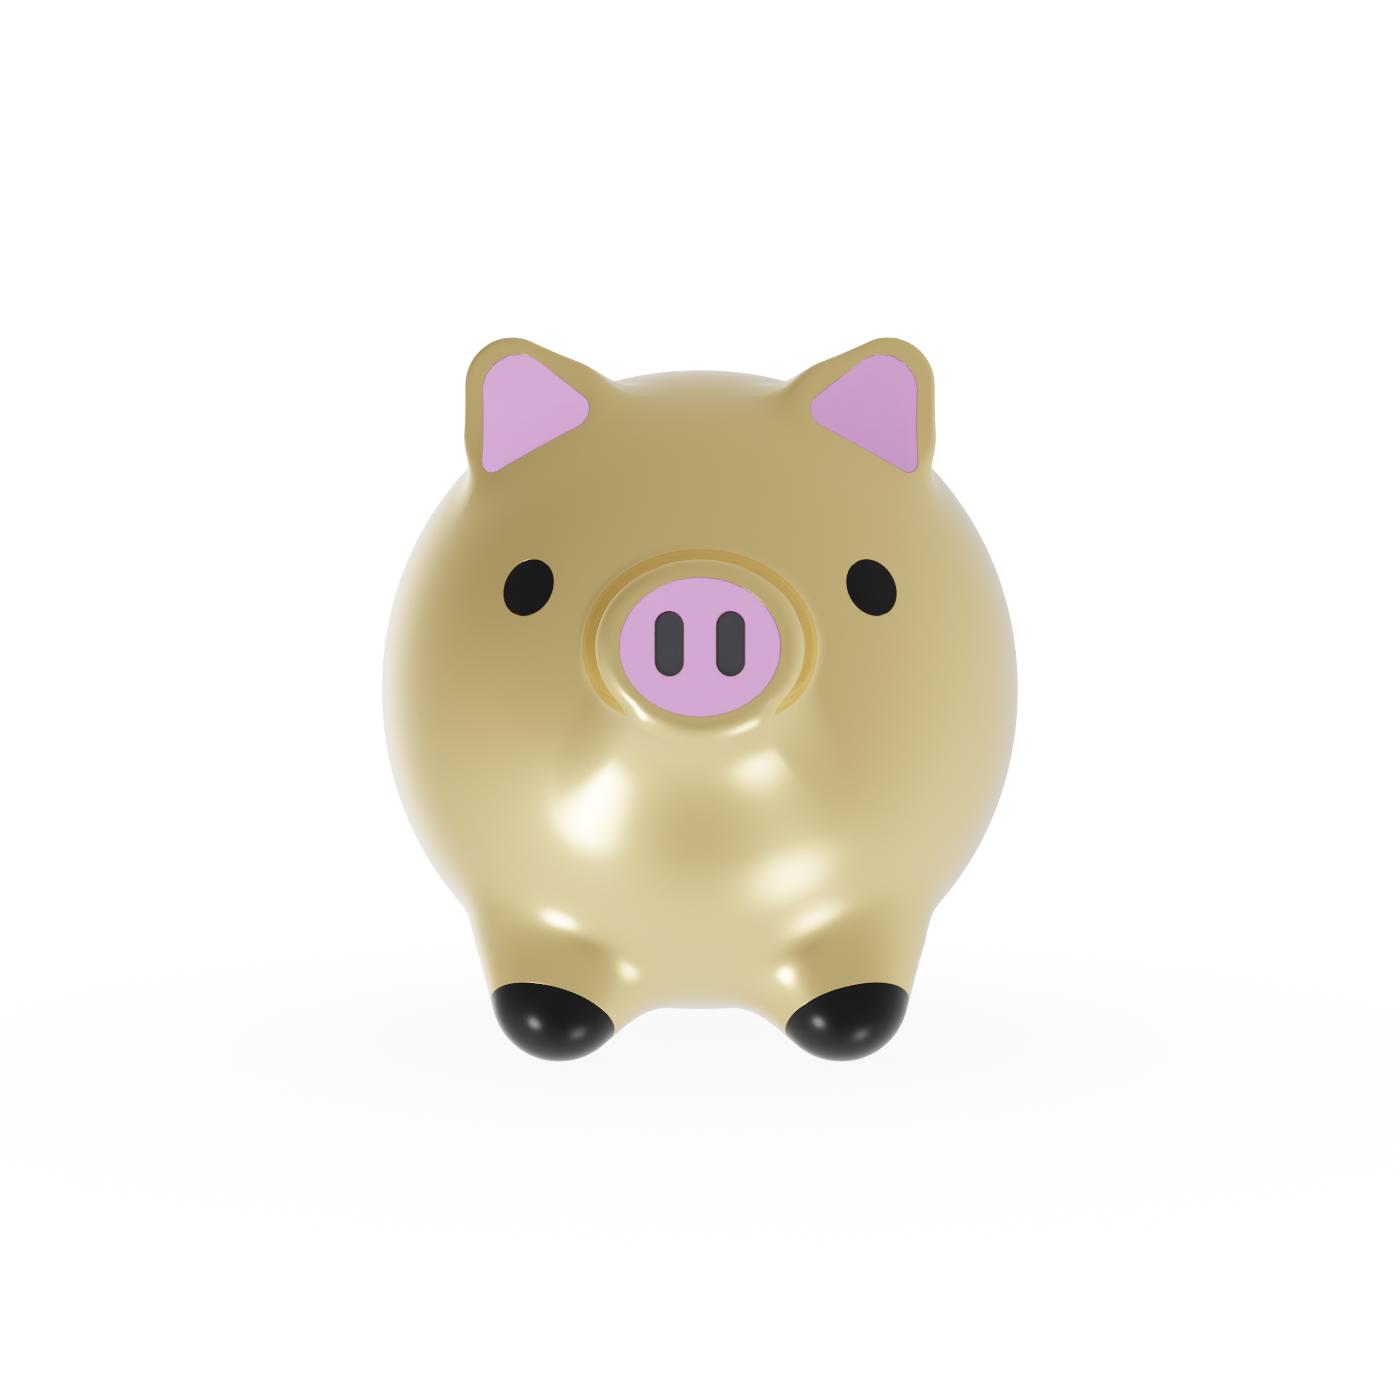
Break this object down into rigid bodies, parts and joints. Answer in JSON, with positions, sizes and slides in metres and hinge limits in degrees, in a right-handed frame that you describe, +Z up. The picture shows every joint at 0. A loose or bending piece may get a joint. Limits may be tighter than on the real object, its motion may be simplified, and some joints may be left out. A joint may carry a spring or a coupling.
{
  "type": "piggy bank",
  "caption": "Round hollow pig-shaped money bank on short legs, with a coin slot along the back, inlaid ears, eyes and snout, and a pull-out belly stopper.",
  "frame": {"origin": "centre of the bounding box at the ground, under the four hooves", "axes": "the pig faces -Y, +Z is up, +X is the pig's own left side"},
  "size_m": [0.12, 0.1363, 0.1266],
  "materials": {
    "gold_plating": "gloss",
    "pink_plastic": "satin",
    "black_plastic": "gloss",
    "grey_plastic": "matte",
    "screw_steel": "satin",
    "stopper_rubber": "matte"
  },
  "bodies": {
    "bank": {"front_shell": "gold_plating", "rear_shell": "gold_plating", "ear_pad_left": "pink_plastic", "ear_pad_right": "pink_plastic", "snout_disc": "pink_plastic", "nostril_left": "grey_plastic", "nostril_right": "grey_plastic", "eye_left": "black_plastic", "eye_right": "black_plastic", "hoof_front_left": "black_plastic", "hoof_front_right": "black_plastic", "hoof_rear_left": "black_plastic", "hoof_rear_right": "black_plastic", "tail": "gold_plating", "shell_screws": "screw_steel", "hoof_screws": "screw_steel", "stopper_ring": "black_plastic"},
    "stopper": {"stopper": "stopper_rubber"}
  },
  "joints": [
    {"name": "stopper_pull", "type": "slide", "parent": "bank", "child": "stopper", "axis": [0, 0, -1], "range_m": [0, 0.018]}
  ]
}
